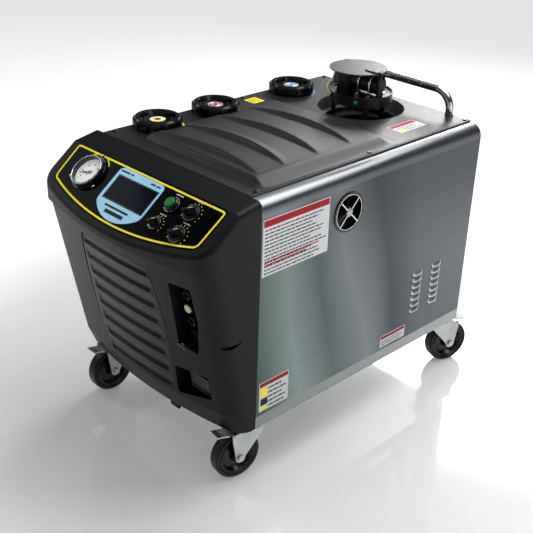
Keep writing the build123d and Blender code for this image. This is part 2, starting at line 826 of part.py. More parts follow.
def build_cap(position, y):
    """Screw cap over a filler neck, with a ribbed rim and a recessed centre."""
    low = COVER_TOP + 0.4
    top = COVER_TOP + CAP_H
    with BuildPart() as cap:
        with BuildSketch(Plane.XZ.offset(-y)) as section:
            with BuildLine():
                Polyline(
                    (CAP_X, top - 12),
                    (CAP_X + 43, top - 12),
                    (CAP_X + 46, top),
                    (CAP_X + 56, top),
                    (CAP_X + 59, top - 4),
                    (CAP_X + CAP_R, low + 6),
                    (CAP_X + CAP_R, low),
                    (CAP_X + CAP_R - 4, low),
                    (CAP_X + 54, top - 16),
                    (CAP_X + 37, top - 16),
                    (CAP_X + 37, low + 1),
                    (CAP_X + NECK_R + 1, low + 1),
                    (CAP_X + NECK_R + 1, top - 16),
                    (CAP_X, top - 16),
                    close=True,
                )
            make_face()
        revolve(axis=Axis((CAP_X, y, 0), (0, 0, 1)))
        with BuildSketch(Plane.XY.offset(low)) as notches:
            with Locations((CAP_X, y)):
                with PolarLocations(CAP_R + 1.5, 12):
                    Circle(4.5)
        extrude(amount=CAP_H, mode=Mode.SUBTRACT)
    save(cap, f"cap_{position}")


def build_handle():
    """Bent push handle at the back of the top cover."""
    foot = COVER_TOP - 6
    with BuildPart() as handle:
        with BuildLine() as path:
            FilletPolyline(
                (-HANDLE_X, HANDLE_Y, foot),
                (-HANDLE_X, HANDLE_Y, HANDLE_TOP),
                (HANDLE_X, HANDLE_Y, HANDLE_TOP),
                (HANDLE_X, HANDLE_Y, foot),
                radius=HANDLE_BEND,
            )
        with BuildSketch(Plane(origin=path.line @ 0, z_dir=path.line % 0)) as section:
            Circle(HANDLE_R)
            Circle(HANDLE_R - 1.5, mode=Mode.SUBTRACT)
        sweep()
    save(handle, "push_handle")


TANKS = {"front": (-300.0, -106.0), "middle": (-100.0, 86.0), "rear": (94.0, 454.0)}


def build_tanks():
    """Three moulded tanks with their filler necks, one behind another."""
    with BuildPart() as tanks:
        for position, (start, end) in TANKS.items():
            with BuildSketch(Plane.XY.offset(162)) as body:
                with Locations((-219, (start + end) / 2)):
                    RectangleRounded(140, end - start, 14)
            extrude(amount=550)
            with BuildSketch(Plane.XY.offset(711)) as neck:
                with Locations((CAP_X, CAP_Y[position])):
                    Circle(NECK_R)
            extrude(amount=COVER_TOP + 10 - 711)
        for position, (start, end) in TANKS.items():
            with BuildSketch(Plane.XY.offset(166)) as hollow:
                with Locations((-219, (start + end) / 2)):
                    RectangleRounded(132, end - start - 8, 10)
            extrude(amount=542, mode=Mode.SUBTRACT)
            with BuildSketch(Plane.XY.offset(700)) as bore:
                with Locations((CAP_X, CAP_Y[position])):
                    Circle(NECK_R - 4)
            extrude(amount=80, mode=Mode.SUBTRACT)
    save(tanks, "storage_tanks")


SCREW_PLACES = [
    (-252, -309), (252, -309), (252, 66), (252, 452), (-252, 452), (-252, 122),
]


def build_screws():
    """Pan-head screws that hold the top cover down."""
    with BuildPart() as screws:
        with BuildSketch(Plane.XY.offset(COVER_TOP)) as heads:
            with Locations(*SCREW_PLACES):
                Circle(5.5)
        extrude(amount=2.6)
        fillet(screws.faces().group_by(Axis.Z)[-1].edges(), 1.6)
    save(screws, "case_screws")


build_top_cover()
for cap_position, cap_y in CAP_Y.items():
    build_cap(cap_position, cap_y)
build_handle()
build_tanks()
build_screws()


# ---------------------------------------------------------------- side fan
GUARD_T = 2.5
FAN_R = 40.0


def build_vent():
    """Plated finger guard with its duct, rear spider and bearing pin, and the fan inside."""
    face = Plane.YZ.offset(CASE_HALF)
    centre = (VENT_Y, VENT_Z)
    with BuildPart() as guard:
        with BuildSketch(face.offset(-25)) as spider:
            with Locations(centre):
                Circle(VENT_R)
                with PolarLocations(26, 3, start_angle=30):
                    Circle(15, mode=Mode.SUBTRACT)
        extrude(amount=3)
        with BuildSketch(face.offset(-22)) as duct:
            with Locations(centre):
                Circle(VENT_R)
                Circle(VENT_R - 2, mode=Mode.SUBTRACT)
        extrude(amount=22)
        with BuildSketch(face) as flange:
            with Locations(centre):
                Circle(VENT_R + 5)
                Circle(VENT_R - 2, mode=Mode.SUBTRACT)
        extrude(amount=GUARD_T)
        with BuildSketch(face) as spokes:
            with Locations(centre):
                with PolarLocations(26, 4, start_angle=45):
                    Rectangle(37, 5)
                Circle(13)
        extrude(amount=GUARD_T)
        with BuildSketch(face.offset(-22)) as pin:
            with Locations(centre):
                Circle(2)
        extrude(amount=18)
    save(guard, "vent_guard")
    with BuildPart() as fan:
        with BuildSketch(face.offset(-21)) as hub:
            with Locations(centre):
                Circle(13)
                Circle(2 + RUN, mode=Mode.SUBTRACT)
        extrude(amount=15)
        for blade in range(7):
            angle = 2 * math.pi * blade / 7
            out = Vector(0, math.cos(angle), math.sin(angle))
            root = Vector(CASE_HALF - 14, VENT_Y, VENT_Z) + out * 11
            along = Vector(0, -math.sin(angle), math.cos(angle)) + Vector(0.7, 0, 0)
            with BuildSketch(Plane(origin=root, x_dir=along, z_dir=out)) as blade_root:
                RectangleRounded(17, 2, 0.8)
            extrude(amount=FAN_R - 11)
    save(fan, "vent_fan")


build_vent()


# ---------------------------------------------------------------- boiler and burner
BOILER_R = 128.0
MOTOR_Z = 808.0
MOTOR_R = 25.0
HOUSING_X = -44.0
HOUSING_HALF = 22.0
COLLAR_R = 84.0
COLLAR_TOP = 783.0
COLLAR_LOW = 757.0
FLANGE_Z = 690.0
well_axis = Axis((WELL[0], WELL[1], 0), (0, 0, 1))
motor_plane = Plane(origin=(0, WELL[1], MOTOR_Z), x_dir=(0, 1, 0), z_dir=(1, 0, 0))


def build_boiler():
    """Upright boiler jacket, open at the top, and the pipe coil inside it."""
    with BuildPart() as jacket:
        with BuildSketch(Plane.XZ.offset(-WELL[1])) as wall:
            with BuildLine():
                Polyline(
                    (0, 162),
                    (BOILER_R, 162),
                    (BOILER_R, FLANGE_Z),
                    (70, FLANGE_Z),
                    (70, FLANGE_Z - 4),
                    (BOILER_R - 6, FLANGE_Z - 4),
                    (BOILER_R - 6, 168),
                    (0, 168),
                    close=True,
                )
            make_face()
        revolve(axis=well_axis)
    save(jacket, "boiler_shell")
    with BuildPart() as coil:
        with BuildSketch(Plane.XZ.offset(-WELL[1])) as turns:
            for turn in range(16):
                with Locations((100, 215 + 26 * turn)):
                    Circle(9)
        revolve(axis=well_axis)
        with BuildSketch(Plane.XY.offset(172)) as headers:
            with Locations((WELL[0], WELL[1] - 100), (WELL[0], WELL[1] + 100)):
                Circle(7)
        extrude(amount=430)
    save(coil, "boiler_coil")


def build_burner():
    """Burner head over the well: collar on legs, fan housing, motor, clamps and fan."""
    with BuildPart() as collar:
        with BuildSketch(Plane.XY.offset(COLLAR_LOW)) as band:
            with Locations(WELL):
                Circle(COLLAR_R)
                Circle(COLLAR_R - 3, mode=Mode.SUBTRACT)
        extrude(amount=COLLAR_TOP - COLLAR_LOW)
        with BuildSketch(Plane.XY.offset(COLLAR_TOP - 8)) as deck:
            with Locations(WELL):
                Circle(COLLAR_R)
        extrude(amount=4)
        with BuildSketch(Plane.XY.offset(FLANGE_Z)) as legs:
            with Locations(WELL):
                with PolarLocations(COLLAR_R - 6, 3, start_angle=80):
                    Rectangle(6, 16)
        extrude(amount=COLLAR_TOP - 6 - FLANGE_Z)
    save(collar, "burner_collar")
    deck_top = COLLAR_TOP - 4
    with BuildPart() as housing:
        with BuildSketch(Plane.XY.offset(deck_top)) as block:
            with Locations((HOUSING_X, WELL[1])):
                RectangleRounded(2 * HOUSING_HALF, 60, 6)
        extrude(amount=838 - deck_top)
        fillet(housing.faces().sort_by(Axis.Z)[-1].edges(), 4)
        with BuildSketch(motor_plane.offset(HOUSING_X - HOUSING_HALF + 4)) as chamber:
            Circle(24)
        extrude(amount=2 * HOUSING_HALF - 8, mode=Mode.SUBTRACT)
        with BuildSketch(motor_plane.offset(HOUSING_X - HOUSING_HALF)) as intake:
            Circle(14)
        extrude(amount=6, mode=Mode.SUBTRACT)
        with BuildSketch(motor_plane.offset(HOUSING_X)) as shaft_hole:
            Circle(3 + RUN)
        extrude(amount=HOUSING_HALF + 1, mode=Mode.SUBTRACT)
    save(housing, "burner_housing")
    motor_start = HOUSING_X + HOUSING_HALF + 0.4
    with BuildPart() as motor:
        with BuildSketch(motor_plane.offset(motor_start)) as can:
            Circle(MOTOR_R)
        extrude(amount=86)
        fillet(motor.faces().sort_by(Axis.X)[-1].edges(), 4)
        with BuildSketch(motor_plane.offset(motor_start)) as bearing:
            Circle(3 + RUN)
        extrude(amount=22, mode=Mode.SUBTRACT)
    save(motor, "burner_motor")
    with BuildPart() as fan:
        with BuildSketch(motor_plane.offset(HOUSING_X - 13)) as rotor:
            Circle(22)
            Circle(18, mode=Mode.SUBTRACT)
            with PolarLocations(11, 6):
                Rectangle(16, 2)
            Circle(7)
        extrude(amount=26)
        with BuildSketch(motor_plane.offset(HOUSING_X)) as shaft:
            Circle(3)
        extrude(amount=motor_start + 20 - HOUSING_X)
    save(fan, "burner_fan")
    with BuildPart() as straps:
        for x in (10, 48):
            across = Plane(origin=(x, WELL[1], MOTOR_Z), x_dir=(0, 1, 0), z_dir=(1, 0, 0))
            reach = MOTOR_R + 4.5
            drop = MOTOR_Z - deck_top - 2
            with BuildLine(across) as hoop:
                left = Line((-reach, -drop), (-reach, 0))
                over = RadiusArc(left @ 1, (reach, 0), reach)
                Line(over @ 1, (reach, -drop))
            with BuildSketch(Plane(origin=hoop.line @ 0, z_dir=hoop.line % 0)) as wire:
                Circle(2.2)
            sweep()
            with BuildSketch(Plane.XY.offset(deck_top)) as feet:
                with Locations((x, WELL[1] - reach), (x, WELL[1] + reach)):
                    Circle(7)
            extrude(amount=3)
    save(straps, "motor_straps")


DISC = (-6.0, 311.0)
DISC_R = 77.0
DISC_Z = 842.5
HINGE_X = 77.0
HINGE_Z = 845.0


def build_exhaust_cover():
    """Round cover disc over the burner with its strap hinge, and the fixed bracket."""
    hinge_line = Plane(origin=(HINGE_X, DISC[1] + 7, HINGE_Z), x_dir=(1, 0, 0), z_dir=(0, -1, 0))
    with BuildPart() as cover:
        with BuildSketch(Plane.XY.offset(DISC_Z)) as disc:
            with Locations(DISC):
                Circle(DISC_R)
        extrude(amount=3.5)
        fillet(cover.edges(), 1.2)
        with BuildSketch(Plane.XY.offset(DISC_Z + 3)) as strap:
            with Locations((HINGE_X - 29, DISC[1])):
                RectangleRounded(44, 26, 5)
        extrude(amount=4)
        with BuildSketch(hinge_line) as knuckle:
            Circle(4.5)
            with Locations((-6, 1.75)):
                Rectangle(12, 3.5)
            Circle(2 + RUN, mode=Mode.SUBTRACT)
        extrude(amount=14)
    save(cover, "exhaust_cover")
    with BuildPart() as bracket:
        with BuildSketch(Plane.XY.offset(COLLAR_TOP - 4)) as column:
            with Locations((72, DISC[1])):
                Rectangle(8, 18)
        extrude(amount=54)
        for start in (7.5, -10.5):
            with BuildSketch(Plane.XZ.offset(-DISC[1] + start)) as ear:
                with BuildLine():
                    Polyline((69, 826), (78, 826), (82, 845), (72, 845), close=True)
                make_face()
                with Locations((HINGE_X, HINGE_Z)):
                    Circle(5)
            extrude(amount=3)
        with BuildSketch(Plane.XZ.offset(-DISC[1] - 10.5)) as pin:
            with Locations((HINGE_X, HINGE_Z)):
                Circle(2)
        extrude(amount=21)
    save(bracket, "cover_bracket")


build_boiler()
build_burner()
build_exhaust_cover()


# ---------------------------------------------------------------- fittings in the front recesses
PORT_X = 205.0
PORT_Z = (519.0, 485.0, 448.0, 410.0)
PORT_BORE = 8.0
PORT_LONG = 20.0
PORT_FRONT = PORT_DEEP - PORT_LONG


def along_face(z, deep):
    """Distance along the leaning face for a point at height z, deep behind it."""
    return (z - FACE_Z - deep * math.sin(lean_angle)) / math.cos(lean_angle)


def build_ports():
    """Four hose couplings on the recess floor, and the plug that closes the second."""
    places = [(PORT_X, along_face(z, PORT_FRONT)) for z in PORT_Z]
    with BuildPart() as ports:
        with BuildSketch(FACE.offset(-PORT_DEEP)) as barrels:
            with Locations(*places):
                Circle(12)
                Circle(PORT_BORE, mode=Mode.SUBTRACT)
        extrude(amount=PORT_LONG)
        with BuildSketch(FACE.offset(-PORT_DEEP)) as hexes:
            with Locations(*places):
                RegularPolygon(13.5, 6)
                Circle(PORT_BORE, mode=Mode.SUBTRACT)
        extrude(amount=6)
    save(ports, "hose_ports")
    with BuildPart() as plug:
        with BuildSketch(FACE.offset(-PORT_DEEP + 4)) as stem:
            with Locations(places[1]):
                Circle(PORT_BORE - RUN)
        extrude(amount=PORT_LONG - 3.6)
        with BuildSketch(FACE.offset(-PORT_FRONT + 0.4)) as head:
            with Locations(places[1]):
                Circle(10.5)
        extrude(amount=3.5)
        fillet(plug.faces().sort_by(FACE_OUT)[-1].edges(), 1.2)
    save(plug, "port_plug")


VALVE = (204.0, 386.0)
LEVER_DEEP = 10.0


def build_drain():
    """Small drain valve below the couplings, and its quarter-turn lever."""
    place = (VALVE[0], along_face(VALVE[1], LEVER_DEEP))
    with BuildPart() as valve:
        with BuildSketch(FACE.offset(-PORT_DEEP)) as body:
            with Locations(place):
                Circle(5)
        extrude(amount=PORT_DEEP - LEVER_DEEP - 1)
        with BuildSketch(FACE.offset(-LEVER_DEEP - 2)) as stem:
            with Locations(place):
                Circle(2.5)
        extrude(amount=7)
    save(valve, "drain_valve")
    with BuildPart() as lever:
        with BuildSketch(FACE.offset(-LEVER_DEEP)) as nut:
            with Locations(place):
                RegularPolygon(7, 6)
                Circle(2.5 + RUN, mode=Mode.SUBTRACT)
        extrude(amount=6)
        with BuildSketch(FACE.offset(-LEVER_DEEP + 1)) as arm:
            with Locations((place[0] - 17, place[1] + 1)):
                RectangleRounded(24, 8, 3)
        extrude(amount=4)
    save(lever, "drain_lever")


INLET_X = 203.0
INLET_Z = 276.0
INLET_WIDE = 66.0
INLET_HIGH = 42.0
LID_DEEP = 30.0


def build_inlet():
    """Supply inlet housing in the lower recess, with its hinged cover."""
    place = (INLET_X, along_face(INLET_Z, LID_DEEP))
    low_edge = (INLET_X, place[1] - INLET_HIGH / 2 - 3.4)
    with BuildPart() as box:
        with BuildSketch(FACE.offset(-INLET_DEEP)) as outside:
            with Locations(place):
                RectangleRounded(INLET_WIDE, INLET_HIGH, 4)
        extrude(amount=INLET_DEEP - LID_DEEP)
        with BuildSketch(FACE.offset(-LID_DEEP)) as socket:
            with Locations(place):
                RectangleRounded(INLET_WIDE - 6, INLET_HIGH - 6, 2)
        extrude(amount=-40, mode=Mode.SUBTRACT)
        hinge_origin = FACE.from_local_coords((INLET_X - 33, low_edge[1], 3.5 - LID_DEEP))
        with BuildSketch(Plane(origin=hinge_origin, x_dir=FACE.y_dir, z_dir=(1, 0, 0))) as pin:
            Circle(1.5)
        extrude(amount=66)
        for start in (-33, 27.5):
            ear_origin = FACE.from_local_coords((INLET_X + start, low_edge[1], 3.5 - LID_DEEP))
            with BuildSketch(Plane(origin=ear_origin, x_dir=FACE.y_dir, z_dir=(1, 0, 0))) as ear:
                with Locations((0, -3.1)):
                    Rectangle(5.6, 9.8)
                with Locations((1.6, -6)):
                    Rectangle(8.8, 4.8)
            extrude(amount=5.5)
    save(box, "inlet_box")
    with BuildPart() as lid:
        with BuildSketch(FACE.offset(-LID_DEEP + 0.4)) as plate:
            with Locations(place):
                RectangleRounded(INLET_WIDE, INLET_HIGH, 4)
            with Locations((INLET_X, low_edge[1] + 3)):
                Rectangle(54, 6)
        extrude(amount=3)
        barrel_origin = FACE.from_local_coords((INLET_X - 27, low_edge[1], 3.5 - LID_DEEP))
        with BuildSketch(Plane(origin=barrel_origin, x_dir=FACE.y_dir, z_dir=(1, 0, 0))) as barrel:
            Circle(3)
        extrude(amount=54)
        with BuildSketch(Plane(origin=barrel_origin, x_dir=FACE.y_dir, z_dir=(1, 0, 0))) as bore:
            Circle(1.5 + RUN)
        extrude(amount=54, mode=Mode.SUBTRACT)
    save(lid, "inlet_lid")


def build_pump():
    """Water pump with its motor on the chassis tray."""
    with BuildPart() as pump:
        with BuildSketch(Plane.XY.offset(160.5)) as foot:
            with Locations((150, -200)):
                RectangleRounded(230, 130, 10)
        extrude(amount=8)
        with BuildSketch(Plane.YZ.offset(110)) as motor:
            with Locations((-200, 232)):
                Circle(58)
                with Locations((0, -40)):
                    Rectangle(70, 50)
        extrude(amount=145)
        with BuildSketch(Plane.YZ.offset(46)) as head:
            with Locations((-200, 226)):
                RectangleRounded(90, 104, 10)
        extrude(amount=65)
    save(pump, "pump_unit")


build_ports()
build_drain()
build_inlet()
build_pump()
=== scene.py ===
import math
import random

import bmesh
import bpy
from mathutils import Matrix, Vector
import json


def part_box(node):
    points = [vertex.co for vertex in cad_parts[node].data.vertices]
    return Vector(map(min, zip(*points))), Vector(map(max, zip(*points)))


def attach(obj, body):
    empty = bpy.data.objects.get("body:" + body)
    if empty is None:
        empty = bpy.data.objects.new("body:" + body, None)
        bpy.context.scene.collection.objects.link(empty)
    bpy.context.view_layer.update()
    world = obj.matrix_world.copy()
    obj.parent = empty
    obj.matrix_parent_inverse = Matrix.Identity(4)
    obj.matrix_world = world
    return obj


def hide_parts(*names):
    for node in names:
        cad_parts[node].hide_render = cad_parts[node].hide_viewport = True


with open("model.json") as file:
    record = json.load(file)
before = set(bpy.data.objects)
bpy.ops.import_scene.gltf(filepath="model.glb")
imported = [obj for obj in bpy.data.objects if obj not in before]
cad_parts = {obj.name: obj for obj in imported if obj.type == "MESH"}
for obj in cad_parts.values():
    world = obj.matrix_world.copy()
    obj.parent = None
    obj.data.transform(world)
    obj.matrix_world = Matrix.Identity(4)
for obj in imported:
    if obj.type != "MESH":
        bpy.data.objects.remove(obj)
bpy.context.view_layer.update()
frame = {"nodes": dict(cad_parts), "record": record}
NODES = frame["nodes"]
JOINTS = {j["name"]: j for j in frame["record"]["behaviour"]["joints"]}
MM = 0.001


# ---------------------------------------------------------------- places in the frame
def centre(node):
    low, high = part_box(node)
    return (Vector(low) + Vector(high)) / 2


# The control panel's plane: x runs along the panel, v up it and out away from it, in millimetres
# from the middle of the panel's upper edge. The pressure knob's axis places it.
KNOB_X, KNOB_V = 187.0, -41.0
PANEL_OUT = Vector(JOINTS["pressure_knob_turn"]["axis"])
PANEL_UP = Vector((0, PANEL_OUT.z, -PANEL_OUT.y))
KNOB_PLACE = Vector(JOINTS["pressure_knob_turn"]["pos_m"])
PANEL_ZERO = KNOB_PLACE - Vector((KNOB_X * MM, 0, 0)) - PANEL_UP * KNOB_V * MM


def on_panel(x, v, out):
    return PANEL_ZERO + Vector((x, 0, 0)) * MM + PANEL_UP * v * MM + PANEL_OUT * out * MM


SIDE_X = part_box("side_panel_right")[1][0]
COVER_TOP = 737.0


def on_side(y, z, out):
    return Vector((SIDE_X + out * MM, y * MM, z * MM))


def on_top(x, y, out):
    return Vector((x * MM, y * MM, (COVER_TOP + out) * MM))


# ---------------------------------------------------------------- materials
SOCKET_WORDS = {"scale", "detail", "roughness", "distortion", "strength", "distance", "radius"}


def node(tree, kind, **values):
    """A new node; each value sets the input socket of that name, or else the node's own property."""
    made = tree.nodes.new(kind)
    for key, value in values.items():
        key = key.title() if key in SOCKET_WORDS else key
        if key in made.inputs:
            made.inputs[key].default_value = value
        else:
            setattr(made, key, value)
    return made



def ramp(tree, source, stops):
    made = tree.nodes.new("ShaderNodeValToRGB")
    line = made.color_ramp
    while len(line.elements) < len(stops):
        line.elements.new(0.5)
    for element, (place, colour) in zip(line.elements, stops):
        element.position = place
        element.color = (*colour, 1)
    tree.links.new(source, made.inputs["Fac"])
    return made.outputs["Color"]


def remap(tree, source, low, high):
    made = tree.nodes.new("ShaderNodeMapRange")
    made.inputs["To Min"].default_value = low
    made.inputs["To Max"].default_value = high
    tree.links.new(source, made.inputs["Value"])
    return made.outputs["Result"]


def noise(tree, stretch, detail=3.0, distortion=0.0):
    """Noise over the object's own coordinates; stretch is how many cells fit in a metre along X, Y, Z."""
    place = tree.nodes.new("ShaderNodeTexCoord")
    mapping = tree.nodes.new("ShaderNodeMapping")
    mapping.inputs["Scale"].default_value = stretch
    made = node(tree, "ShaderNodeTexNoise", scale=1.0, detail=detail, distortion=distortion)
    tree.links.new(place.outputs["Object"], mapping.inputs["Vector"])
    tree.links.new(mapping.outputs["Vector"], made.inputs["Vector"])
    return made.outputs["Fac"]


def shade(colour, factor):
    return tuple(min(1.0, c * factor) for c in colour)


PATCHES = 14.0


def material(name, colour, rough, metallic=0.0, grain=900.0, bump=0.05, vary=0.12, spread=0.06,
             edge=0.0, coat=0.0, specular=0.5, painted_glow=0.0):
    """Procedural finish: blotchy tone, uneven roughness, fine grain and softened edges; a nonzero glow
    strength makes the surface emit its own colour, painted light on a part that is no lamp.
    """
    made = bpy.data.materials.new(name)
    made.use_nodes = True
    tree = made.node_tree
    bsdf = tree.nodes["Principled BSDF"]
    bsdf.inputs["Metallic"].default_value = metallic
    bsdf.inputs["Coat Weight"].default_value = coat
    bsdf.inputs["Coat Roughness"].default_value = 0.08
    bsdf.inputs["Specular IOR Level"].default_value = specular
    # Emission in the surface's own colour is painted light: none of these parts is a lamp.
    bsdf.inputs["Emission Color"].default_value = (*colour, 1)
    bsdf.inputs["Emission Strength"].default_value = painted_glow
    blotch = noise(tree, (PATCHES,) * 3)
    tone = ramp(tree, blotch, [(0.3, shade(colour, 1 - vary)), (0.7, shade(colour, 1 + vary))])
    tree.links.new(tone, bsdf.inputs["Base Color"])
    uneven = noise(tree, (5 * PATCHES,) * 3, detail=5.0)
    tree.links.new(remap(tree, uneven, max(0.02, rough - spread), rough + spread), bsdf.inputs["Roughness"])
    fine = noise(tree, (grain,) * 3, detail=2.0)
    relief = node(tree, "ShaderNodeBump", strength=bump, distance=0.0006)
    tree.links.new(fine, relief.inputs["Height"])
    if edge:
        bevel = tree.nodes.new("ShaderNodeBevel")
        bevel.samples = 4
        bevel.inputs["Radius"].default_value = edge
        tree.links.new(bevel.outputs["Normal"], relief.inputs["Normal"])
    tree.links.new(relief.outputs["Normal"], bsdf.inputs["Normal"])
    return made


def gradient(tree, axis_weights, low, high):
    """0 to 1 along a direction of the object's own coordinates."""
    place = tree.nodes.new("ShaderNodeTexCoord")
    dot = node(tree, "ShaderNodeVectorMath", operation="DOT_PRODUCT")
    dot.inputs[1].default_value = axis_weights
    tree.links.new(place.outputs["Object"], dot.inputs[0])
    made = tree.nodes.new("ShaderNodeMapRange")
    made.inputs["From Min"].default_value = low
    made.inputs["From Max"].default_value = high
    tree.links.new(dot.outputs["Value"], made.inputs["Value"])
    return made.outputs["Result"]


SIDE_REAR_Y, SIDE_FRONT_Y = 0.466, -0.334
SIDE_LOW_Z, SIDE_HIGH_Z = 0.182, 0.733
ROLL_START_Z, ROLL_END_Z = 0.694, 0.712
# Painted light: the rolled top edge gets its own flat tone, standing in for how light falls on its curve.
PAINTED_ROLL_TONE = (0.26, 0.27, 0.285, 1)


def multiply(tree, first, second):
    made = node(tree, "ShaderNodeMix", data_type="RGBA", blend_type="MULTIPLY")
    made.inputs["Factor"].default_value = 1.0
    tree.links.new(first, made.inputs["A"])
    tree.links.new(second, made.inputs["B"])
    return made.outputs["Result"]


def brushed(name, stops, rough=0.3, skew=0.0, rolled=False):
    """Brushed stainless: fine streaks from front to rear, and broad light and dark bands across them that are
    painted reflections in the base colour.
    """
    made = bpy.data.materials.new(name)
    made.use_nodes = True
    tree = made.node_tree
    bsdf = tree.nodes["Principled BSDF"]
    bsdf.inputs["Metallic"].default_value = 1.0
    bsdf.inputs["Anisotropic"].default_value = 0.55
    streak = noise(tree, (900, 4, 900), detail=4.0)
    # The tone ramp runs along the length, tilted upward and bent by noise; its stops paint broad reflection
    # bands into the base colour.
    place = gradient(tree, (0, 1, skew), SIDE_FRONT_Y, SIDE_REAR_Y)
    wobble = noise(tree, (2, 3, 1.2), detail=1.0)
    shift = node(tree, "ShaderNodeMath", operation="MULTIPLY_ADD")
    shift.inputs[1].default_value = 0.22
    tree.links.new(wobble, shift.inputs[0])
    tree.links.new(place, shift.inputs[2])
    base = ramp(tree, shift.outputs["Value"], stops)
    lines = ramp(tree, streak, [(0.3, (0.86, 0.86, 0.86)), (0.7, (1.08, 1.08, 1.08))])
    tone = multiply(tree, base, lines)
    if rolled:
        # Painted light: the panel is lighter toward the bottom and darker toward the top, then blends into
        # the rolled edge's painted tone.
        painted_height_light = ramp(tree, gradient(tree, (0, 0, 1), SIDE_LOW_Z, SIDE_HIGH_Z), [
            (0.0, (1.5, 1.5, 1.5)), (0.35, (1.2, 1.2, 1.2)), (0.8, (0.75, 0.75, 0.75))])
        roll = node(tree, "ShaderNodeMix", data_type="RGBA")
        tree.links.new(gradient(tree, (0, 0, 1), ROLL_START_Z, ROLL_END_Z), roll.inputs["Factor"])
        tree.links.new(multiply(tree, tone, painted_height_light), roll.inputs["A"])
        roll.inputs["B"].default_value = PAINTED_ROLL_TONE
        tone = roll.outputs["Result"]
    tree.links.new(tone, bsdf.inputs["Base Color"])
    tree.links.new(remap(tree, streak, rough - 0.08, rough + 0.1), bsdf.inputs["Roughness"])
    relief = node(tree, "ShaderNodeBump", strength=0.06, distance=0.0004)
    tree.links.new(streak, relief.inputs["Height"])
    tree.links.new(relief.outputs["Normal"], bsdf.inputs["Normal"])
    return made


